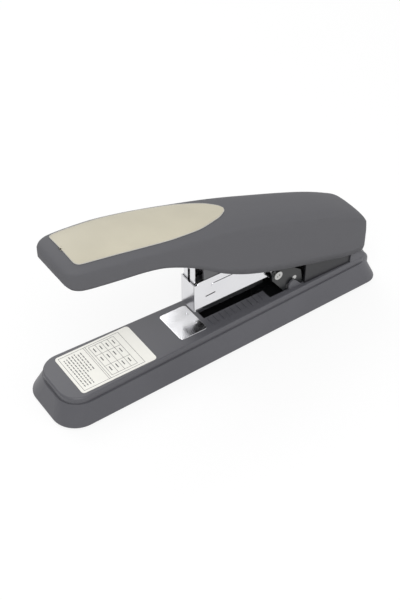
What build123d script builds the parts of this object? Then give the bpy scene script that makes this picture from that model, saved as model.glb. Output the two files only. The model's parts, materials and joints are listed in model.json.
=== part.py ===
"""Heavy-duty desk stapler: long flared base, hinged magazine, press handle and driver.

Millimetres. Origin at the bottom centre of the base, +Z up, +X towards the handle pivot,
nose and grip towards -X, and the XZ plane is the plane of symmetry.
"""
import os
from math import cos, radians, sin
from build123d import *

# ---- base ----
base_length = 290.0        # whole cover, front to rear
base_front_half = 32.0     # skirt half width at the front, at the table
base_rear_half = 26.3      # skirt half width at the rear, at the table
deck_height = 21.5         # top of the flat deck above the table
deck_front_half = 25.0
deck_rear_half = 17.4
deck_wall = 3.0
skirt_step = 5.0           # upright step from the deck edge down to the flared skirt
skirt_lift = 1.5           # skirt hem above the table
cover_wall = 2.4
plate_thick = 1.5
plate_inset = 4.5
foot_radius = 6.0
foot_height = 2.0
screw_radius = 1.5
screw_head_radius = 2.8
running_gap = 0.05         # radial gap of every turning or sliding fit

# ---- deck details ----
anvil_x = -26.8            # centre of the anvil plate
anvil_length = 23.4
anvil_width = 30.4
anvil_thick = 1.0
anvil_sink = 0.5
pocket_x = -19.6           # staple-forming pockets
pocket_spread = 10.0
label_x = -93.25
label_length = 61.5
label_width = 41.0
label_thick = 0.3
slot_front = -11.4         # deck slot that takes the lower channel
slot_half = 4.9
rib_first_x = -9.5
rib_pitch = 5.2
rib_count = 10
rib_length = 7.8
rib_width = 1.2
rib_height = 0.5
tail_front = 119.5         # raised fairing behind the handle
tail_height = 29.5
tail_half = 18.4
ear_x = 59.5               # small upright ears beside the pivot bracket
ear_length = 13.0
ear_height = 8.6
ear_half = 16.0
ear_thick = 1.6

# ---- pivots ----
mag_pivot_x = 49.5
mag_pivot_z = 40.5
mag_pin_radius = 2.6
handle_pivot_x = 112.0
handle_pivot_z = 42.0
handle_pin_radius = 3.0
bracket_half = 13.8
bracket_thick = 1.8
recess_front = 43.0        # deck opening that the bracket stands in
recess_rear = 75.5
housing_front = 75.0
housing_rear = 119.0
housing_half = 16.0
housing_wall = 1.8
spring_pin_x = 66.0
spring_pin_z = 30.0
spring_pin_radius = 2.0
torsion_radius = 5.2
torsion_wire = 1.2
torsion_turns = 4.5

# ---- magazine ----
mag_half = 8.7
mag_sheet = 1.0
mag_front = -22.5
mag_rear = 58.0
mag_bottom = 38.0
mag_top = 62.5
nose_bottom = 36.2
nose_top = 60.7
rail_half = 5.6
rail_front = -19.4
rail_top = 53.0
staple_wire = 0.7
staple_leg = 13.0
strip_rear = 12.0
slide_gap = 0.1
lower_half = 3.9
lower_bottom = 29.0
rod_radius = 1.2
rod_level = 58.0
pusher_length = 8.0
end_stop_x = 54.0
end_stop_length = 3.0
coil_wire = 0.6
coil_radius = 2.6
coil_turns = 14

# ---- driver ----
blade_half = 6.4
blade_thick = 1.0
blade_front = -21.2
blade_tip = 56.0
blade_top = 92.0
holder_rear = -6.0
holder_half = 7.0
holder_bottom = 80.0
holder_top = 95.0
link_x = -10.0
link_z = 88.0
link_radius = 2.0
link_travel = 3.4          # play along the handle that the link slot leaves
link_gap = 0.3

# ---- handle ----
shell_wall = 2.2
frame_half = 11.4
frame_thick = 1.8
cross_x = 24.0
cross_z = 88.0
cross_radius = 2.5
panel_thick = 0.6
shoulder_rise = 0.72       # how boxy the crown is at its shoulders
shoulder_lean = 0.84       # share of the half width where the crown leaves the shoulder
# stations along the handle: x, half width, lower edge, shoulder height, crown above the shoulder
handle_stations = [
    (-130.0, 13.0, 125.0, 128.5, 3.6),
    (-128.0, 17.5, 121.0, 129.2, 4.6),
    (-124.0, 21.3, 117.4, 129.4, 5.6),
    (-118.0, 23.6, 116.0, 129.0, 6.3),
    (-104.0, 24.9, 114.5, 127.7, 6.5),
    (-81.0, 26.0, 112.2, 124.8, 6.5),
    (-62.0, 25.9, 108.5, 121.3, 6.5),
    (-42.0, 25.0, 99.5, 117.2, 6.5),
    (-24.0, 23.4, 87.8, 113.5, 6.5),
    (-5.0, 21.9, 74.0, 109.3, 6.5),
    (16.0, 20.8, 62.6, 103.8, 6.2),
    (41.0, 20.1, 53.0, 96.1, 5.6),
    (69.0, 19.5, 44.4, 87.0, 5.0),
    (96.0, 19.1, 36.8, 77.2, 4.5),
    (116.0, 18.9, 31.6, 68.2, 4.0),
    (127.0, 18.7, 30.8, 62.2, 3.4),
    (130.5, 18.3, 31.4, 58.4, 2.6),
    (132.5, 17.4, 33.5, 48.0, 1.8),
]


def box(x0, x1, y0, y1, z0, z1):
    """A block between two corners."""
    return Pos((x0 + x1) / 2, (y0 + y1) / 2, (z0 + z1) / 2) * Box(x1 - x0, y1 - y0, z1 - z0)


def both(shape):
    """The shape and its mirror image across the plane of symmetry."""
    return shape + mirror(shape, Plane.XZ)


def plate(points, y0, y1):
    """A side-view polygon given thickness across the width."""
    face = make_face(Polyline([(x, y0, z) for x, z in points], close=True))
    return extrude(face, amount=y1 - y0, dir=(0, 1, 0))


def rod_y(x, z, radius, y0, y1):
    """A round bar across the width."""
    return Pos(x, (y0 + y1) / 2, z) * Rot(90, 0, 0) * Cylinder(radius, y1 - y0)


def rod_x(y, z, radius, x0, x1):
    """A round bar along the length."""
    return Pos((x0 + x1) / 2, y, z) * Rot(0, 90, 0) * Cylinder(radius, x1 - x0)


def rod_z(x, y, radius, z0, z1):
    """An upright round bar."""
    return Pos(x, y, (z0 + z1) / 2) * Cylinder(radius, z1 - z0)


def outline(x0, x1, half0, half1, corner0, corner1, z):
    """A tapered, round-cornered outline lying at height z."""
    face = make_face(Polyline([(x0, -half0), (x1, -half1), (x1, half1), (x0, half0)], close=True))
    front = face.vertices().filter_by(lambda v: v.X < 0)
    face = fillet(front, corner0)
    rear = [v for v in face.vertices() if abs(v.X - x1) < 0.01]
    face = fillet(rear, corner1)
    return Pos(0, 0, z) * face


def deck_outline(inset, z):
    """The deck's outline, drawn in by inset."""
    x0, x1 = -base_length / 2 + 7.5 + inset, base_length / 2 - 6 - inset
    return outline(x0, x1, deck_front_half - inset, deck_rear_half - inset, 16.0, 9.0, z)


def skirt(inset, z0, z1):
    """The flared skirt between two heights, drawn in by inset."""
    half = base_length / 2
    full = deck_height - skirt_step - skirt_lift

    def at(z):
        t = (z - skirt_lift) / full
        x0 = -half + 6.0 * t + inset
        x1 = half - 5.0 * t - inset
        wide0 = base_front_half + (deck_front_half + 1.3 - base_front_half) * t - inset
        wide1 = base_rear_half + (deck_rear_half + 1.0 - base_rear_half) * t - inset
        return outline(x0, x1, wide0, wide1, 19.0 - inset, 13.0 - inset, z)

    return loft([at(z0), at(z1)])


def tail():
    """The fairing that rises behind the handle and curves down to the table."""
    rear = base_length / 2
    path = [
        Line((tail_front, 0, 5), (tail_front, 0, tail_height)),
        Spline(
            (tail_front, 0, tail_height), (rear - 13, 0, tail_height - 3), (rear - 4, 0, tail_height - 14),
            (rear - 0.6, 0, 5),
        ),
        Line((rear - 0.6, 0, 5), (tail_front, 0, 5)),
    ]
    half = extrude(make_face(path), amount=tail_half, dir=(0, 1, 0), both=True)
    keep = extrude(outline(-rear, rear, tail_half, tail_half - 1.4, 1.0, 12.0, 5), amount=tail_height)
    solid = half & keep
    top_rim = [e for e in solid.edges() if e.center().Z > tail_height - 6 and abs(e.center().Y) > tail_half - 5]
    return fillet(top_rim, 1.6)


def feet_places():
    """Foot centres, and the screw centres beside them."""
    front, rear = -base_length / 2 + 24, base_length / 2 - 22
    feet = [(front, -17), (front, 17), (rear, -12), (rear, 12)]
    screws = [(front + 16, -16), (front + 16, 16), (rear - 16, -14), (rear - 16, 14)]
    return feet, screws


def base_cover():
    """Moulded cover: deck, upright step, flared skirt, ears, ribs and rear fairing."""
    step_top = deck_height - skirt_step
    deck = extrude(deck_outline(0, step_top - 2), amount=skirt_step + 2)
    deck = fillet(deck.edges().group_by(Axis.Z)[-1], 1.5)
    body = skirt(0, skirt_lift, step_top) + deck + tail()
    body -= skirt(cover_wall, skirt_lift - 0.5, step_top - cover_wall)
    body -= extrude(deck_outline(deck_wall, step_top - 4), amount=skirt_step + 4 - deck_wall)
    body -= box(slot_front, recess_front + 1, -slot_half, slot_half, 10, deck_height + 1)
    opening = bracket_half + 0.3
    body -= box(recess_front, recess_rear, -opening, opening, 10, deck_height + 1)
    anvil_pit = Pos(anvil_x, 0, deck_height - anvil_sink) * extrude(
        RectangleRounded(anvil_length, anvil_width, 2.5), amount=3
    )
    body -= anvil_pit
    for i in range(rib_count):
        x = rib_first_x + i * rib_pitch
        rib = box(x, x + rib_width, -slot_half - 1 - rib_length, -slot_half - 1, deck_height - 0.5, deck_height + rib_height)
        body += rib
    ear = plate(
        [(ear_x, deck_height - 2), (ear_x, deck_height + ear_height - 4), (ear_x + 1.4, deck_height + ear_height - 1.4),
         (ear_x + 4, deck_height + ear_height), (ear_x + 6, deck_height + ear_height - 1),
         (ear_x + ear_length, deck_height), (ear_x + ear_length, deck_height - 2)],
        -ear_half, -ear_half + ear_thick,
    )
    body += both(ear)
    for x, y in feet_places()[1]:
        post = rod_z(x, y, 4.0, foot_height + plate_thick, deck_height - deck_wall + 0.5)
        body += post
        body -= rod_z(x, y, screw_radius + running_gap, 0, deck_height - deck_wall - 2)
    return body


def base_plate():
    """Steel plate that closes the underside."""
    half = base_length / 2
    sheet = outline(
        -half + plate_inset, half - plate_inset, base_front_half - plate_inset, base_rear_half - plate_inset,
        16.0, 10.0, foot_height,
    )
    solid = extrude(sheet, amount=plate_thick)
    for x, y in feet_places()[1]:
        solid -= rod_z(x, y, screw_radius + running_gap, 0, 6)
    return solid


def base_feet():
    """Rubber feet under the plate."""
    feet = [rod_z(x, y, foot_radius, 0, foot_height) for x, y in feet_places()[0]]
    return Compound(children=[fillet(f.edges().group_by(Axis.Z)[0], 0.5) for f in feet])


def base_screws():
    """Pan-head screws from the plate up into the cover's posts."""
    screws = []
    for x, y in feet_places()[1]:
        head = rod_z(x, y, screw_head_radius, foot_height - 1.4, foot_height)
        shank = rod_z(x, y, screw_radius, foot_height - 0.5, deck_height - deck_wall - 3)
        slot = box(x - 2, x + 2, y - 0.35, y + 0.35, 0, foot_height - 0.9)
        screws.append(head + shank - slot)
    return Compound(children=screws)


def anvil_plate():
    """Chromed anvil with two forming pockets."""
    blank = extrude(RectangleRounded(anvil_length, anvil_width, 2.5), amount=anvil_thick)
    blank = fillet(blank.edges().group_by(Axis.Z)[-1], 0.35)
    solid = Pos(anvil_x, 0, deck_height - anvil_sink) * blank
    top = deck_height - anvil_sink + anvil_thick
    for side in (-1, 1):
        pocket = extrude(Ellipse(1.3, 2.0), amount=0.6)
        solid -= Pos(pocket_x, side * pocket_spread / 2, top - 0.5) * pocket
    return solid


def label_plate():
    """Thin plate stuck on the front of the deck."""
    return Pos(label_x, 0, deck_height) * extrude(RectangleRounded(label_length, label_width, 2.6), amount=label_thick)


def pivot_bracket():
    """Folded steel bracket that stands on the base plate and carries the magazine pin."""
    floor = foot_height + plate_thick
    side = plate(
        [(44.6, floor), (44.6, 22), (44.6, 44), (46.5, 46), (58, 46), (72, 35), (74.5, 22), (74.5, floor)],
        -bracket_half, -bracket_half + bracket_thick,
    )
    side -= plate([(40, 17), (40, 36), (44.9, 36.5), (56.5, 21), (56.5, 17)], -bracket_half - 1, -bracket_half + 3)
    solid = both(side) + box(50, 74.5, -bracket_half, bracket_half, floor, floor + bracket_thick)
    solid -= rod_y(mag_pivot_x, mag_pivot_z, mag_pin_radius + running_gap, -20, 20)
    solid -= rod_y(spring_pin_x, spring_pin_z, spring_pin_radius + running_gap, -20, 20)
    solid -= rod_y(60.5, 24.5, 1.5, -20, 20)
    return solid


def headed_pin(x, z, radius, half, head_radius, head_thick):
    """A pin across the width with a hollow-ended head on each side."""
    pin = rod_y(x, z, radius, -half, half)
    head = rod_y(x, z, head_radius, -half - head_thick, -half)
    head -= rod_y(x, z, radius * 0.6, -half - head_thick, -half - head_thick * 0.3)
    return pin + both(head)


def bracket_rivets():
    """Short rivets through the lower part of each bracket cheek."""
    one = rod_y(60.5, 24.5, 1.5, -bracket_half, -bracket_half + bracket_thick)
    one += rod_y(60.5, 24.5, 2.4, -bracket_half - 0.15, -bracket_half)
    return Compound(children=[one, mirror(one, Plane.XZ)])


def coil(radius, wire, pitch, turns):
    """A closed-end helical spring along +Z from the origin."""
    path = Helix(pitch=pitch, height=pitch * turns, radius=radius)
    section = Plane(origin=path @ 0, z_dir=path % 0) * Circle(wire / 2)
    return sweep(section, path=path, is_frenet=True)


def return_spring():
    """Torsion spring in two coils on its own pin, under the handle frame."""
    pitch = torsion_wire * 1.12
    one = Pos(spring_pin_x, -5.2, spring_pin_z) * Rot(90, 0, 0) * coil(torsion_radius, torsion_wire, pitch, torsion_turns)
    return Compound(children=[one, mirror(one, Plane.XZ)])


def rear_housing():
    """Black inner housing whose two cheeks carry the handle pin."""
    cheek = plate(
        [(housing_front, deck_height), (housing_front, 43), (housing_front + 3, 46), (104, 50.5), (116, 49),
         (housing_rear, 44), (housing_rear, deck_height)],
        -housing_half, -housing_half + housing_wall,
    )
    solid = both(cheek) + box(housing_front + 0.8, housing_rear, -housing_half, housing_half, deck_height, deck_height + 2)
    solid += box(housing_rear - 2, housing_rear, -housing_half, housing_half, deck_height, 30)
    solid -= rod_y(handle_pivot_x, handle_pivot_z, handle_pin_radius + running_gap, -20, 20)
    return solid


def handle_stop():
    """Rubber pad on the housing floor."""
    return fillet(box(82, 96, -7, 7, deck_height + 2, deck_height + 5).edges().group_by(Axis.Z)[-1], 0.8)


def magazine_body():
    """Chromed channel, open on top, closed at the nose, with round ears at the pivot."""
    inner = mag_half - mag_sheet
    walls = both(box(mag_front, mag_rear, -mag_half, -inner, mag_bottom, mag_top))
    walls += both(rod_y(mag_pivot_x, mag_pivot_z, 6.0, -mag_half, -inner))
    floor = box(-18.5, 43.5, -mag_half, mag_half, mag_bottom, mag_bottom + mag_sheet)
    nose = box(mag_front, mag_front + mag_sheet, -mag_half, mag_half, nose_bottom, nose_top)
    solid = walls + floor + nose
    uprights = [
        e for e in solid.edges().filter_by(Axis.Z)
        if abs(e.center().X - mag_front) < 0.01 and abs(abs(e.center().Y) - mag_half) < 0.01
    ]
    solid = fillet(uprights, 0.8)
    solid -= box(mag_front - 1, mag_front + 3.2, -mag_half - 1, mag_half + 1, nose_top, mag_top + 1)
    slot = plate([(-12.6, 46.2), (-4.0, 46.6), (-4.0, 47.6), (-12.6, 47.2)], -mag_half - 1, -inner + 0.2)
    solid -= slot + mirror(slot, Plane.XZ)
    rib_z = 54.6
    for sign in (-1, 1):
        rib = box(-5.5, 40, sign * mag_half - 0.35, sign * mag_half + 0.35, rib_z - 1.9, rib_z + 1.9)
        rib += rod_y(-5.5, rib_z, 1.9, sign * mag_half - 0.35, sign * mag_half + 0.35)
        solid += rib
    solid -= rod_y(mag_pivot_x, mag_pivot_z, mag_pin_radius + running_gap, -20, 20)
    return solid


def nose_guide():
    """Two upright guides that hold the blade's edges behind the nose."""
    inner = mag_half - mag_sheet
    return both(box(mag_front + mag_sheet, rail_front - 0.3, -inner, -blade_half - 0.2, mag_bottom + 2, nose_top - 1.2))


def staple_rail():
    """Hollow rail that the staples stand over."""
    floor = mag_bottom + mag_sheet
    solid = box(rail_front, 43.5, -rail_half, rail_half, floor, rail_top)
    solid += box(43, end_stop_x, -rail_half, rail_half, 44.5, rail_top)
    solid -= box(rail_front + 2, end_stop_x + 1, -rail_half + 1.2, rail_half - 1.2, floor - 1, rail_top - 1.4)
    return solid


def staple_strip():
    """Glued strip of staples, each with a crown and two legs."""
    crown = rail_top + 0.05
    outer = rail_half + 0.05 + staple_wire
    strip = box(rail_front - 0.4, strip_rear, -outer, outer, crown - staple_leg + staple_wire, crown + staple_wire)
    strip -= box(
        rail_front - 1, strip_rear + 1, -outer + staple_wire, outer - staple_wire, mag_bottom, crown,
    )
    return strip


def lower_channel():
    """Narrow black channel under the magazine, sloped up at its front end."""
    solid = plate(
        [(-16, mag_bottom), (-14.5, 34.5), (-11, 31), (-6, lower_bottom), (43.5, lower_bottom), (43.5, mag_bottom)],
        -lower_half, lower_half,
    )
    solid -= box(-13, 44, -lower_half + 1, lower_half - 1, lower_bottom + 1, mag_bottom - 1.2)
    return solid


def magazine_pin():
    """Pin that joins the magazine to the bracket."""
    return headed_pin(mag_pivot_x, mag_pivot_z, mag_pin_radius, bracket_half + 0.05, 3.6, 1.2)


def guide_rod():
    """Rod that the pusher's lug and the spring ride on."""
    return rod_x(0, rod_level, rod_radius, strip_rear + 0.5, end_stop_x + end_stop_length)


def rail_end_stop():
    """Cross block that holds the rail and the guide rod at the rear."""
    inner = mag_half - mag_sheet
    block = box(end_stop_x, end_stop_x + end_stop_length, -inner, inner, 46, 61.5)
    return block - rod_x(0, rod_level, rod_radius + running_gap, 40, 60)


def pusher():
    """Saddle that slides on the rail and pushes the strip to the nose."""
    x0, x1 = strip_rear + 0.3, strip_rear + 0.3 + pusher_length
    bore = rail_half + slide_gap
    saddle = box(x0, x1, -bore - 1.2, bore + 1.2, 40, rail_top + 1.3)
    saddle -= box(x0 - 1, x1 + 1, -bore, bore, 39, rail_top + slide_gap)
    saddle += box(x0, x1, -3, 3, rail_top + 1, rod_level + 2.8)
    return saddle - rod_x(0, rod_level, rod_radius + 0.08, x0 - 1, x1 + 1)


def pusher_spring():
    """Compression spring between the pusher and the end stop."""
    start = strip_rear + 0.3 + pusher_length + coil_wire / 2 + 0.1
    pitch = (end_stop_x - start - coil_wire / 2 - 0.1) / coil_turns
    return Pos(start, 0, rod_level) * Rot(0, 90, 0) * coil(coil_radius, coil_wire, pitch, coil_turns)


def driver_blade():
    """Driver blade with a window that leaves two legs showing above the nose."""
    solid = box(blade_front, blade_front + blade_thick, -blade_half, blade_half, blade_tip, blade_top)
    return solid - box(blade_front - 1, blade_front + 2, -1.5, 1.5, blade_tip + 5, holder_bottom - 3)


def driver_holder():
    """Block behind the blade with the slot that the handle's link pin works in."""
    x0 = blade_front + blade_thick
    solid = box(x0, holder_rear, -holder_half, holder_half, holder_bottom, holder_top)
    reach = link_radius + link_gap
    slot = box(link_x - link_travel, link_x + 0.6, -9, 9, link_z - reach, link_z + reach)
    slot += rod_y(link_x - link_travel, link_z, reach, -9, 9) + rod_y(link_x + 0.6, link_z, reach, -9, 9)
    return solid - slot


def driver_rivets():
    """Two rivets that fix the blade to its holder."""
    one = rod_x(4.4, 83, 1.0, blade_front - 0.25, blade_front)
    return Compound(children=[one, mirror(one, Plane.XZ)])


def handle_section(x, half, low, shoulder, crown):
    """One closed cross-section of the handle, square to its length."""
    top = shoulder + crown
    steep = shoulder + shoulder_rise * crown
    near = Bezier((x, -half, shoulder), (x, -half * shoulder_lean, steep), (x, -half * 0.5, top), (x, 0, top))
    far = Bezier((x, 0, top), (x, half * 0.5, top), (x, half * shoulder_lean, steep), (x, half, shoulder))
    sides = Polyline((x, half, shoulder), (x, half, low), (x, -half, low), (x, -half, shoulder))
    return make_face([near, far, sides])


def handle_form(inset, drop):
    """The handle's solid form, drawn in by inset and lengthened down by drop."""
    faces = []
    for x, half, low, shoulder, crown in handle_stations:
        faces.append(handle_section(x, half - inset, low - drop, shoulder - inset, crown))
    return loft(faces, ruled=True)


def handle_hollow():
    """The space inside the shell, open below."""
    faces = []
    first, last = handle_stations[2][0], handle_stations[-3][0]
    for x, half, low, shoulder, crown in handle_stations:
        if first <= x <= last:
            faces.append(handle_section(x, half - shell_wall, low - 8, shoulder - shell_wall, crown))
    return loft(faces, ruled=True)


def handle_shell():
    """Long moulded handle, hollow and open below."""
    return handle_form(0, 0) - handle_hollow()


def grip_panel():
    """Inlaid grip panel that follows the top of the handle."""
    rim = [(-119.5, -16.8), (-100, -19.2), (-78, -20.6), (-50, -20.0), (-22, -16.6), (-2, -9.6)]
    far = [(x, -y) for x, y in reversed(rim)]
    path = Spline(rim + [(8.0, 0)] + far)
    face = make_face([path, Line(far[-1], rim[0])])
    prism = extrude(Pos(0, 0, 90) * face, amount=60)
    return (handle_form(-panel_thick, 0) - handle_form(0, 0)) & prism


def handle_frame():
    """Steel inner frame: two cheeks from the pivot to the driver link, tied by two webs."""
    cheek = plate(
        [(-16, 99), (-16, 66), (-4, 66), (2, 74), (50, 66), (80, 50), (103, 36), (112, 34), (119, 38), (120, 46),
         (112, 54), (60, 82), (28, 96), (4, 99)],
        -frame_half, -frame_half + frame_thick,
    )
    inner = frame_half - frame_thick
    solid = both(cheek) + box(-16, 4, -inner, inner, 97.2, 99)
    solid += plate([(72, 62), (92, 51.5), (92, 53.5), (72, 64)], -inner, inner)
    solid -= rod_y(handle_pivot_x, handle_pivot_z, handle_pin_radius + 0.06, -20, 20)
    solid -= rod_y(link_x, link_z, link_radius + running_gap, -20, 20)
    solid -= rod_y(cross_x, cross_z, cross_radius + running_gap, -20, 20)
    return solid


def handle_bushes():
    """Spacer bushes on the handle pin, between the frame and the housing cheeks."""
    half = housing_half - housing_wall
    one = rod_y(handle_pivot_x, handle_pivot_z, 5.0, -half + 0.15, -frame_half)
    one -= rod_y(handle_pivot_x, handle_pivot_z, handle_pin_radius + 0.06, -half, -frame_half + 1)
    return Compound(children=[one, mirror(one, Plane.XZ)])


def handle_pad():
    """Spacer between the frame's front web and the handle's roof."""
    return box(-14, 2, -8, 8, 99, 110.5)


nodes = {
    "base_cover": base_cover,
    "base_plate": base_plate,
    "base_feet": base_feet,
    "base_screws": base_screws,
    "anvil_plate": anvil_plate,
    "label_plate": label_plate,
    "pivot_bracket": pivot_bracket,
    "bracket_rivets": bracket_rivets,
    "magazine_pin": magazine_pin,
    "rear_housing": rear_housing,
    "handle_pin": lambda: rod_y(handle_pivot_x, handle_pivot_z, handle_pin_radius, -housing_half, housing_half),
    "spring_pin": lambda: rod_y(spring_pin_x, spring_pin_z, spring_pin_radius, -bracket_half, bracket_half),
    "return_spring": return_spring,
    "handle_stop": handle_stop,
    "magazine_body": magazine_body,
    "nose_guide": nose_guide,
    "staple_rail": staple_rail,
    "staple_strip": staple_strip,
    "lower_channel": lower_channel,
    "guide_rod": guide_rod,
    "rail_end_stop": rail_end_stop,
    "pusher": pusher,
    "pusher_spring": pusher_spring,
    "driver_blade": driver_blade,
    "driver_holder": driver_holder,
    "driver_rivets": driver_rivets,
    "handle_shell": handle_shell,
    "grip_panel": grip_panel,
    "handle_frame": handle_frame,
    "handle_bushes": handle_bushes,
    "handle_pad": handle_pad,
    "link_pin": lambda: rod_y(link_x, link_z, link_radius, -frame_half - 0.5, frame_half + 0.5),
    "cross_pin": lambda: rod_y(cross_x, cross_z, cross_radius, -18.0, 18.0),
}

os.makedirs("parts", exist_ok=True)
for name, make in nodes.items():
    export_step(make(), f"parts/{name}.step")
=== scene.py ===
"""Looks of a heavy-duty desk stapler: finishes, handle skin, grip panel, label print and stage."""
import json
import math
import random
import bmesh
import bpy
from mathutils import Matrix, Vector


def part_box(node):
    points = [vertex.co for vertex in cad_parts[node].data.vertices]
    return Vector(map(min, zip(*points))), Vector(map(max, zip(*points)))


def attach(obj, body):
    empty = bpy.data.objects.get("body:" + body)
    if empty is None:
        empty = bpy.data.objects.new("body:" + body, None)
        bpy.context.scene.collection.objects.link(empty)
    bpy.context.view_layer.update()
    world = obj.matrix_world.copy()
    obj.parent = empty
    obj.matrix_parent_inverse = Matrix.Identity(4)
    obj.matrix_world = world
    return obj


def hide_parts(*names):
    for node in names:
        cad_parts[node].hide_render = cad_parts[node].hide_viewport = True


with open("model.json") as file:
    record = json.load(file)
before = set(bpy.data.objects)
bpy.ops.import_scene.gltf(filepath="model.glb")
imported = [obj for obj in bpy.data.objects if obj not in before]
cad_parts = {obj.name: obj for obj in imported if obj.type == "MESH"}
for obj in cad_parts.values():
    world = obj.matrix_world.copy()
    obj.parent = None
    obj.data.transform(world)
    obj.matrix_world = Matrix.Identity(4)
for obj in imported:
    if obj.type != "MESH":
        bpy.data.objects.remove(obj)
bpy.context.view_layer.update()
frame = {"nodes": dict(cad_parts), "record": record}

bl_info = {
    "name": "Desk Stapler Looks",
    "version": (1, 0, 0),
    "blender": (4, 5, 0),
    "location": "View3D > Sidebar > Stapler",
    "description": "Finishes and fine pieces of a heavy-duty desk stapler",
    "category": "Object",
}

MM = 0.001
NODES = frame["nodes"]

# stations along the handle: x, half width, lower edge, shoulder, crown above the shoulder, in mm
STATIONS = [
    (-130.0, 13.0, 125.0, 128.5, 3.6), (-128.0, 17.5, 121.0, 129.2, 4.6), (-124.0, 21.3, 117.4, 129.4, 5.6),
    (-118.0, 23.6, 116.0, 129.0, 6.3), (-104.0, 24.9, 114.5, 127.7, 6.5), (-81.0, 26.0, 112.2, 124.8, 6.5),
    (-62.0, 25.9, 108.5, 121.3, 6.5), (-42.0, 25.0, 99.5, 117.2, 6.5), (-24.0, 23.4, 87.8, 113.5, 6.5),
    (-5.0, 21.9, 74.0, 109.3, 6.5), (16.0, 20.8, 62.6, 103.8, 6.2), (41.0, 20.1, 53.0, 96.1, 5.6),
    (69.0, 19.5, 44.4, 87.0, 5.0), (96.0, 19.1, 36.8, 77.2, 4.5), (116.0, 18.9, 31.6, 68.2, 4.0),
    (127.0, 18.7, 30.8, 62.2, 3.4), (130.5, 18.3, 31.4, 58.4, 2.6), (132.5, 17.4, 33.5, 48.0, 1.8),
]
# half outline of the grip panel, from the front edge to the rounded rear tip
PANEL_RIM = [
    (-119.5, 0.0), (-119.5, 9.0), (-119.2, 16.0), (-116.5, 18.4), (-100, 19.6), (-78, 20.6), (-50, 20.0),
    (-22, 16.6), (-2, 9.6), (6.5, 3.6), (8.0, 0.0),
]


class StaplerLook(bpy.types.PropertyGroup):
    """Colours and sizes that a user would change."""
    shell_color: bpy.props.FloatVectorProperty(
        name="Shell colour", description="Moulded shell", subtype="COLOR", size=3, default=(0.078, 0.078, 0.088))
    grip_color: bpy.props.FloatVectorProperty(
        name="Grip colour", description="Inlaid grip panel", subtype="COLOR", size=3, default=(0.46, 0.43, 0.34))
    chrome_roughness: bpy.props.FloatProperty(
        name="Chrome roughness", description="Blur of the plated parts", default=0.16, min=0.0, max=1.0)
    panel_height: bpy.props.FloatProperty(
        name="Panel height", description="Grip panel above the shell", default=0.6 * MM, unit="LENGTH")
    shell_wall: bpy.props.FloatProperty(
        name="Shell wall", description="Wall of the handle shell", default=2.2 * MM, unit="LENGTH")
    lens: bpy.props.FloatProperty(name="Lens", description="Camera focal length in mm", default=68.6)


class Sock:
    """A shader socket that takes part in Python arithmetic."""

    def __init__(self, tree, socket):
        self.tree = tree
        self.socket = socket

    def node(self, kind, settings=None, **inputs):
        """Adds any node, with its settings first and then its inputs."""
        made = self.tree.nodes.new(kind)
        for name, value in (settings or {}).items():
            setattr(made, name, value)
        for name, value in inputs.items():
            key = int(name[1:]) if name[0] == "i" and name[1:].isdigit() else name.replace("_", " ")
            if isinstance(value, Sock):
                self.tree.links.new(value.socket, made.inputs[key])
            else:
                made.inputs[key].default_value = value
        return made

    def out(self, made, key=0):
        return Sock(self.tree, made.outputs[key])

    def math(self, operation, *values):
        made = self.node("ShaderNodeMath", {"operation": operation}, **{f"i{n}": v for n, v in enumerate(values)})
        return self.out(made)

    def __add__(self, other):
        return self.math("ADD", self, other)

    __radd__ = __add__

    def __mul__(self, other):
        return self.math("MULTIPLY", self, other)

    __rmul__ = __mul__

    def __sub__(self, other):
        return self.math("SUBTRACT", self, other)

    def __rsub__(self, other):
        return self.math("SUBTRACT", other, self)

    def power(self, other):
        return self.math("POWER", self, other)


def finish(name, color, roughness, metallic=0.0, coat=0.0, specular=0.5):
    """A material with its shader's constants set, its object coordinates and its shader."""
    material = bpy.data.materials.new(name)
    material.use_nodes = True
    shader = material.node_tree.nodes["Principled BSDF"]
    shader.inputs["Base Color"].default_value = (*color, 1)
    shader.inputs["Roughness"].default_value = roughness
    shader.inputs["Metallic"].default_value = metallic
    shader.inputs["Coat Weight"].default_value = coat
    shader.inputs["Specular IOR Level"].default_value = specular
    place = material.node_tree.nodes.new("ShaderNodeTexCoord")
    return material, shader, Sock(material.node_tree, place.outputs["Object"])


def noise(place, scale, detail=3.0):
    made = place.node("ShaderNodeTexNoise", None, Vector=place, Scale=scale, Detail=detail)
    return place.out(made, "Fac")


def tint(place, mask, low, high):
    """A colour that runs from low to high as the mask runs from 0 to 1."""
    made = place.node("ShaderNodeMix", {"data_type": "RGBA"}, i0=mask, i6=(*low, 1), i7=(*high, 1))
    return place.out(made, 2)


def link(place, source, shader, key):
    place.tree.links.new(source.socket, shader.inputs[key])


def bump(place, shader, height, depth, strength):
    made = place.node("ShaderNodeBump", None, Height=height, Distance=depth, Strength=strength)
    link(place, place.out(made), shader, "Normal")


def shade(color, amount):
    return tuple(min(1.0, c * amount) for c in color)


def moulded(name, color, roughness, grain=2600.0, strength=0.22):
    """Moulded plastic: fine spark-eroded grain, faint cloudiness and handling sheen."""
    material, shader, place = finish(name, color, roughness)
    cloud = noise(place, 24.0)
    link(place, tint(place, cloud, shade(color, 0.86), shade(color, 1.14)), shader, "Base Color")
    link(place, cloud * 0.14 + (roughness - 0.07), shader, "Roughness")
    bump(place, shader, noise(place, grain, 2.0), 0.00006, strength)
    return material


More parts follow.
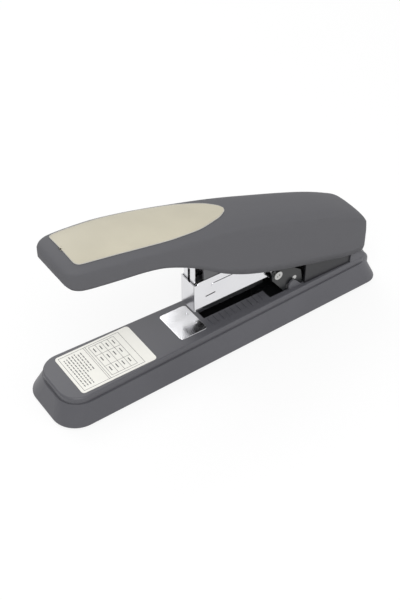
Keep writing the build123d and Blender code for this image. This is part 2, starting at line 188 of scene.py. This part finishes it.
def plated(name, color, roughness, brushed=0.0):
    """Plated or polished metal with smears and, where brushed, fine lines along its length."""
    material, shader, place = finish(name, color, roughness, metallic=1.0)
    smear = noise(place, 55.0, 4.0)
    link(place, tint(place, smear, shade(color, 0.9), shade(color, 1.06)), shader, "Base Color")
    link(place, smear * 0.16 + (roughness - 0.08), shader, "Roughness")
    if brushed:
        stretch = place.node("ShaderNodeMapping", None, Vector=place, Scale=(60.0, 2400.0, 2400.0))
        bump(place, shader, noise(place.out(stretch), 1.0, 2.0), 0.00002, brushed)
    else:
        bump(place, shader, noise(place, 140.0, 2.0), 0.00008, 0.10)
    return material


def striped(name, color, pitch):
    """Wire laid side by side: dark joints between round-topped wires along X."""
    material, shader, place = finish(name, color, 0.28, metallic=1.0)
    parts = place.node("ShaderNodeSeparateXYZ", None, Vector=place)
    wave = (place.out(parts) * (2 * math.pi / pitch)).math("SINE", place.out(parts) * (2 * math.pi / pitch))
    ridge = (wave * 0.5 + 0.5).power(0.5)
    link(place, tint(place, ridge, shade(color, 0.25), color), shader, "Base Color")
    bump(place, shader, ridge, 0.0002, 0.6)
    return material


def rubber(name, color):
    material, shader, place = finish(name, color, 0.85, specular=0.3)
    dust = noise(place, 90.0, 5.0)
    link(place, tint(place, dust, color, shade(color, 1.9)), shader, "Base Color")
    bump(place, shader, dust, 0.0001, 0.3)
    return material


def paper(name, color):
    """Satin label stock with a faint fibre and a soft yellowing."""
    material, shader, place = finish(name, color, 0.45)
    fibre = noise(place, 300.0, 5.0)
    link(place, tint(place, fibre, shade(color, 0.95), color), shader, "Base Color")
    bump(place, shader, fibre, 0.00002, 0.15)
    return material


def mesh_piece(name, points, faces, material, body, sharp=40.0):
    """A smooth-shaded mesh given in mm, riding on a body."""
    mesh = bpy.data.meshes.new(name)
    mesh.from_pydata([tuple(c * MM for c in p) for p in points], [], faces)
    work = bmesh.new()
    work.from_mesh(mesh)
    bmesh.ops.remove_doubles(work, verts=work.verts, dist=1e-6)
    bmesh.ops.recalc_face_normals(work, faces=work.faces)
    work.to_mesh(mesh)
    work.free()
    mesh.shade_smooth()
    mesh.set_sharp_from_angle(angle=math.radians(sharp))
    mesh.materials.append(material)
    piece = bpy.data.objects.new(name, mesh)
    bpy.context.scene.collection.objects.link(piece)
    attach(piece, body)
    return piece


def smooth_row(table, x):
    """The table's row at x, on a monotone smooth curve through its rows."""
    for i in range(len(table) - 1):
        if x <= table[i + 1][0] or i == len(table) - 2:
            break
    a, b = table[i], table[i + 1]
    before = table[max(i - 1, 0)]
    after = table[min(i + 2, len(table) - 1)]
    span = b[0] - a[0]
    t = (x - a[0]) / span

    def slope(p, q, r, k):
        if r[0] == q[0] or q[0] == p[0]:
            return (r[k] - p[k]) / (r[0] - p[0])
        left = (q[k] - p[k]) / (q[0] - p[0])
        right = (r[k] - q[k]) / (r[0] - q[0])
        return 0.0 if left * right <= 0 else 2 * left * right / (left + right)

    row = []
    for k in range(1, len(a)):
        m0 = slope(before, a, b, k) * span
        m1 = slope(a, b, after, k) * span
        h = (2 * t**3 - 3 * t**2 + 1) * a[k] + (t**3 - 2 * t**2 + t) * m0
        h += (-2 * t**3 + 3 * t**2) * b[k] + (t**3 - t**2) * m1
        row.append(h)
    return row


def crown_points(half, shoulder, crown, steps):
    """The half crown from the shoulder (y = half) to the top (y = 0)."""
    top = shoulder + crown
    ctrl = [(half, shoulder), (half * 0.9, shoulder + 0.8 * crown), (half * 0.5, top), (0.0, top)]
    points = []
    for n in range(steps + 1):
        t = n / steps
        w = ((1 - t) ** 3, 3 * t * (1 - t) ** 2, 3 * t * t * (1 - t), t**3)
        points.append(tuple(sum(w[i] * ctrl[i][k] for i in range(4)) for k in range(2)))
    return points


def section(x, inset, low_drop=0.0, steps=12):
    """Open section over the handle, from the near lower edge to the far lower edge."""
    half, low, shoulder, crown = smooth_row(STATIONS, x)
    half, low = half - inset, low - low_drop
    near = [(x, -y, z - inset) for y, z in crown_points(half, shoulder, crown, steps)]
    wall = [(x, -half, low + (shoulder - inset - low) * k / 6) for k in range(6)]
    left = wall + near
    right = [(p[0], -p[1], p[2]) for p in reversed(left[:-1])]
    return left + right


def top_height(x, y):
    """Height of the handle's top above a point."""
    half, low, shoulder, crown = smooth_row(STATIONS, x)
    points = crown_points(half, shoulder, crown, 40)
    y = abs(y)
    for (y0, z0), (y1, z1) in zip(points, points[1:]):
        if y1 <= y <= y0:
            return z0 + (z1 - z0) * (y0 - y) / max(y0 - y1, 1e-9)
    return shoulder


class STAPLER_OT_finishes(bpy.types.Operator):
    """Gives every CAD node its finish"""
    bl_idname = "stapler.finishes"
    bl_label = "Finishes"

    def execute(self, context):
        look = context.scene.stapler_look
        shell = tuple(look.shell_color)
        steel = plated("bright_steel", (0.55, 0.55, 0.54), 0.3, brushed=0.25)
        made = {
            "dark_shell": moulded("dark_shell", shell, 0.42),
            "black_plastic": moulded("black_plastic", (0.011, 0.011, 0.014), 0.38),
            "black_steel": moulded("black_steel", (0.013, 0.014, 0.015), 0.3, grain=900.0, strength=0.12),
            "foot_rubber": rubber("foot_rubber", (0.02, 0.02, 0.02)),
            "bright_steel": steel,
            "spring_steel": plated("spring_steel", (0.5, 0.5, 0.5), 0.25, brushed=0.2),
            "chrome": plated("chrome", (0.78, 0.78, 0.80), look.chrome_roughness),
            "driver_steel": plated("driver_steel", (0.16, 0.16, 0.165), 0.4, brushed=0.3),
            "staple_wire": striped("staple_wire", (0.62, 0.62, 0.63), 0.7 * MM),
            "label": paper("label", (0.78, 0.77, 0.72)),
        }
        for row in frame["record"]["subparts"]:
            material = made.get(row["material_slot"])
            if material is None:
                continue
            node = NODES[row["node"]]
            node.data.materials.clear()
            node.data.materials.append(material)
        return {"FINISHED"}


class STAPLER_OT_handle(bpy.types.Operator):
    """Builds the handle's smooth moulded skin"""
    bl_idname = "stapler.handle"
    bl_label = "Handle shell"

    def execute(self, context):
        look = context.scene.stapler_look
        x0, x1 = STATIONS[0][0], STATIONS[-1][0]
        count = 150
        rows = []
        for n in range(count + 1):
            t = n / count
            ease = 0.5 - 0.5 * math.cos(math.pi * t)
            rows.append(section(x0 + (x1 - x0) * (0.45 * ease + 0.55 * t), 0.0))
        wide = len(rows[0])
        points = [p for row in rows for p in row]
        faces = []
        for r in range(count):
            for c in range(wide - 1):
                a = r * wide + c
                faces.append((a, a + 1, a + wide + 1, a + wide))
        for row, lean in ((rows[0], -1), (rows[-1], 1)):
            ring = [rows.index(row) * wide + c for c in range(wide)]
            mid = [sum(p[k] for p in row) / wide for k in range(3)]
            for scale, push in ((0.86, 0.45), (0.62, 0.75), (0.3, 0.9)):
                start = len(points)
                for p in row:
                    points.append(tuple(mid[k] + (p[k] - mid[k]) * scale + (lean * push if k == 0 else 0) for k in range(3)))
                fresh = [start + c for c in range(wide)]
                for c in range(wide):
                    d = (c + 1) % wide
                    faces.append((ring[c], ring[d], fresh[d], fresh[c]))
                ring = fresh
            faces.append(tuple(ring))
        shell = mesh_piece("handle_skin", points, faces, bpy.data.materials["dark_shell"], "handle", 35.0)
        wall = shell.modifiers.new("wall", "SOLIDIFY")
        wall.thickness = look.shell_wall
        wall.offset = -1.0
        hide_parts("handle_shell")
        return {"FINISHED"}


class STAPLER_OT_grip(bpy.types.Operator):
    """Builds the inlaid grip panel and the bright bead round it"""
    bl_idname = "stapler.grip"
    bl_label = "Grip panel"

    def execute(self, context):
        look = context.scene.stapler_look
        color = tuple(look.grip_color)
        grip = moulded("grip", color, 0.5, grain=1900.0, strength=0.3)
        rise = look.panel_height / MM
        rim = []
        for (ax, ay), (bx, by) in zip(PANEL_RIM, PANEL_RIM[1:]):
            rim += [(ax + (bx - ax) * k / 8, ay + (by - ay) * k / 8) for k in range(8)]
        rim.append(PANEL_RIM[-1])
        for _ in range(6):
            rim = [rim[0]] + [
                tuple((a[k] + 2 * b[k] + c[k]) / 4 for k in range(2)) for a, b, c in zip(rim, rim[1:], rim[2:])
            ] + [rim[-1]]
        across = 24
        points = []
        for x, y in rim:
            for n in range(across + 1):
                v = math.sin(math.pi * (n / across - 0.5))
                edge = 0.35 * max(0.0, abs(v) - 0.9) / 0.1
                points.append((x, y * v, top_height(x, y * v) + rise - edge))
        faces = []
        wide = across + 1
        for r in range(len(rim) - 1):
            for c in range(across):
                a = r * wide + c
                faces.append((a, a + 1, a + wide + 1, a + wide))
        panel = mesh_piece("grip_skin", points, faces, grip, "handle", 50.0)
        body = panel.modifiers.new("body", "SOLIDIFY")
        body.thickness = 1.2 * MM
        body.offset = -1.0
        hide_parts("grip_panel")
        loop = [(x, -y) for x, y in rim] + [(x, y) for x, y in reversed(rim[:-1])]
        curve = bpy.data.curves.new("grip_bead", "CURVE")
        curve.dimensions = "3D"
        curve.bevel_depth = 0.32 * MM
        curve.bevel_resolution = 3
        line = curve.splines.new("POLY")
        line.points.add(len(loop) - 2)
        line.use_cyclic_u = True
        for n, (x, y) in enumerate(loop[:-1]):
            line.points[n].co = (x * MM, y * MM, (top_height(x, y) + 0.25) * MM, 1)
        curve.materials.append(moulded("bead", (0.42, 0.41, 0.38), 0.3))
        bead = bpy.data.objects.new("grip_bead", curve)
        context.scene.collection.objects.link(bead)
        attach(bead, "handle")
        return {"FINISHED"}


class STAPLER_OT_label(bpy.types.Operator):
    """Prints a plain ruled table on the label"""
    bl_idname = "stapler.label"
    bl_label = "Label print"

    def execute(self, context):
        rng = random.Random(7)
        low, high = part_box("label_plate")
        x0, top = low[0] / MM, high[2] / MM
        points, faces = [], []

        def bar(ax, bx, ay, by):
            start = len(points)
            for z in (top - 0.02, top + 0.03):
                points.extend([(x0 + ax, ay, z), (x0 + bx, ay, z), (x0 + bx, by, z), (x0 + ax, by, z)])
            for quad in ((0, 1, 2, 3), (4, 5, 6, 7), (0, 1, 5, 4), (1, 2, 6, 5), (2, 3, 7, 6), (3, 0, 4, 7)):
                faces.append(tuple(start + q for q in quad))

        edge, line = 18.6, 0.28
        frame_end = 52.0
        for x in (2.2, 22.6, 24.0, frame_end):
            bar(x, x + line, -edge, edge)
        for y in (-edge, edge - line):
            bar(2.2, frame_end + line, y, y + line)
        for y in (-6.2, 6.2):
            bar(26.0, frame_end - 5, y, y + line)
        for i in range(5):
            bar(26.0 + 5.25 * i, 26.0 + 5.25 * i + line, -16.5, 16.5)
        for y in (-16.5, 16.5):
            bar(26.0, frame_end - 5 + line, y, y + line)
        for i in range(4):
            for y in (-12.4, -0.6, 9.6):
                bar(28.2 + 5.25 * i, 29.0 + 5.25 * i, y, y + 4.4)
        for i in range(7):
            y = -15.5 if i < 4 else -4.0
            while y < 15.5:
                dash = rng.uniform(1.2, 3.4)
                bar(4.6 + 2.3 * i, 5.3 + 2.3 * i, y, min(y + dash, 16.5))
                y += dash + 0.8
        ink, shader, place = finish("ink", (0.03, 0.03, 0.035), 0.5)
        worn = noise(place, 900.0)
        link(place, tint(place, worn, (0.02, 0.02, 0.025), (0.12, 0.12, 0.12)), shader, "Base Color")
        mesh_piece("label_print", points, faces, ink, "base", 20.0)
        return {"FINISHED"}


class STAPLER_OT_stage(bpy.types.Operator):
    """Adds the pale floor, the even light and the camera"""
    bl_idname = "stapler.stage"
    bl_label = "Stage"

    def execute(self, context):
        scene = context.scene
        mesh = bpy.data.meshes.new("floor")
        mesh.from_pydata([(-6, -6, 0), (6, -6, 0), (6, 6, 0), (-6, 6, 0)], [], [(0, 1, 2, 3)])
        floor = bpy.data.objects.new("floor", mesh)
        scene.collection.objects.link(floor)
        material, shader, place = finish("floor", (0.86, 0.86, 0.86), 0.7)
        paths = place.tree.nodes.new("ShaderNodeLightPath")
        seen = Sock(place.tree, paths.outputs["Is Camera Ray"])
        for key in ("Is Glossy Ray", "Is Transmission Ray"):
            seen = seen.math("MAXIMUM", seen, Sock(place.tree, paths.outputs[key]))
        white = place.node("ShaderNodeEmission", None, Color=(1, 1, 1, 1), Strength=1.0)
        mixed = place.node("ShaderNodeMixShader", None, i0=seen * 0.8)
        place.tree.links.new(shader.outputs[0], mixed.inputs[1])
        place.tree.links.new(white.outputs[0], mixed.inputs[2])
        place.tree.links.new(mixed.outputs[0], place.tree.nodes["Material Output"].inputs["Surface"])
        mesh.materials.append(material)

        world = bpy.data.worlds.new("studio")
        world.use_nodes = True
        tree = world.node_tree
        back = tree.nodes["Background"]
        paths = tree.nodes.new("ShaderNodeLightPath")
        seen = Sock(tree, paths.outputs["Is Camera Ray"])
        seen = seen.math("MAXIMUM", seen, Sock(tree, paths.outputs["Is Transmission Ray"]))
        back.inputs["Color"].default_value = (1, 1, 1, 1)
        level = seen * 0.35 + 0.65
        tree.links.new(level.socket, back.inputs["Strength"])
        scene.world = world

        for name, place_at, power, size in (
            ("key", (-0.5, -0.6, 1.1), 9.0, 0.8),
            ("fill", (0.9, -0.7, 0.7), 3.0, 1.0),
            ("back", (0.1, 1.0, 0.9), 5.0, 0.8),
        ):
            lamp = bpy.data.lights.new(name, "AREA")
            lamp.energy = power
            lamp.size = size
            light = bpy.data.objects.new(name, lamp)
            light.location = place_at
            light.rotation_euler = (Vector((0, 0, 0.05)) - Vector(place_at)).to_track_quat("-Z", "Y").to_euler()
            scene.collection.objects.link(light)

        camera = bpy.data.cameras.new("camera")
        camera.lens = scene.stapler_look.lens
        camera.sensor_width = 36.0
        camera.clip_end = 50.0
        eye = bpy.data.objects.new("camera", camera)
        eye.location = (-0.36738, -0.51390, 0.59750)
        eye.rotation_euler = (math.radians(90 - 41.918), 0, math.radians(-34.701))
        scene.collection.objects.link(eye)
        scene.camera = eye
        scene.view_settings.view_transform = "Standard"
        return {"FINISHED"}


OPERATORS = [STAPLER_OT_finishes, STAPLER_OT_handle, STAPLER_OT_grip, STAPLER_OT_label, STAPLER_OT_stage]


class STAPLER_PT_panel(bpy.types.Panel):
    """Lists the stapler's pieces"""
    bl_idname = "STAPLER_PT_panel"
    bl_label = "Stapler"
    bl_space_type = "VIEW_3D"
    bl_region_type = "UI"
    bl_category = "Stapler"

    def draw(self, context):
        for name in StaplerLook.__annotations__:
            self.layout.prop(context.scene.stapler_look, name)
        for step in OPERATORS:
            self.layout.operator(step.bl_idname)


CLASSES = [StaplerLook, *OPERATORS, STAPLER_PT_panel]


def register():
    for entry in CLASSES:
        bpy.utils.register_class(entry)
    bpy.types.Scene.stapler_look = bpy.props.PointerProperty(type=StaplerLook)


def unregister():
    del bpy.types.Scene.stapler_look
    for entry in reversed(CLASSES):
        bpy.utils.unregister_class(entry)


def main():
    register()
    bpy.ops.stapler.finishes()
    bpy.ops.stapler.handle()
    bpy.ops.stapler.grip()
    bpy.ops.stapler.label()
    bpy.ops.stapler.stage()


if __name__ == "__main__":
    main()
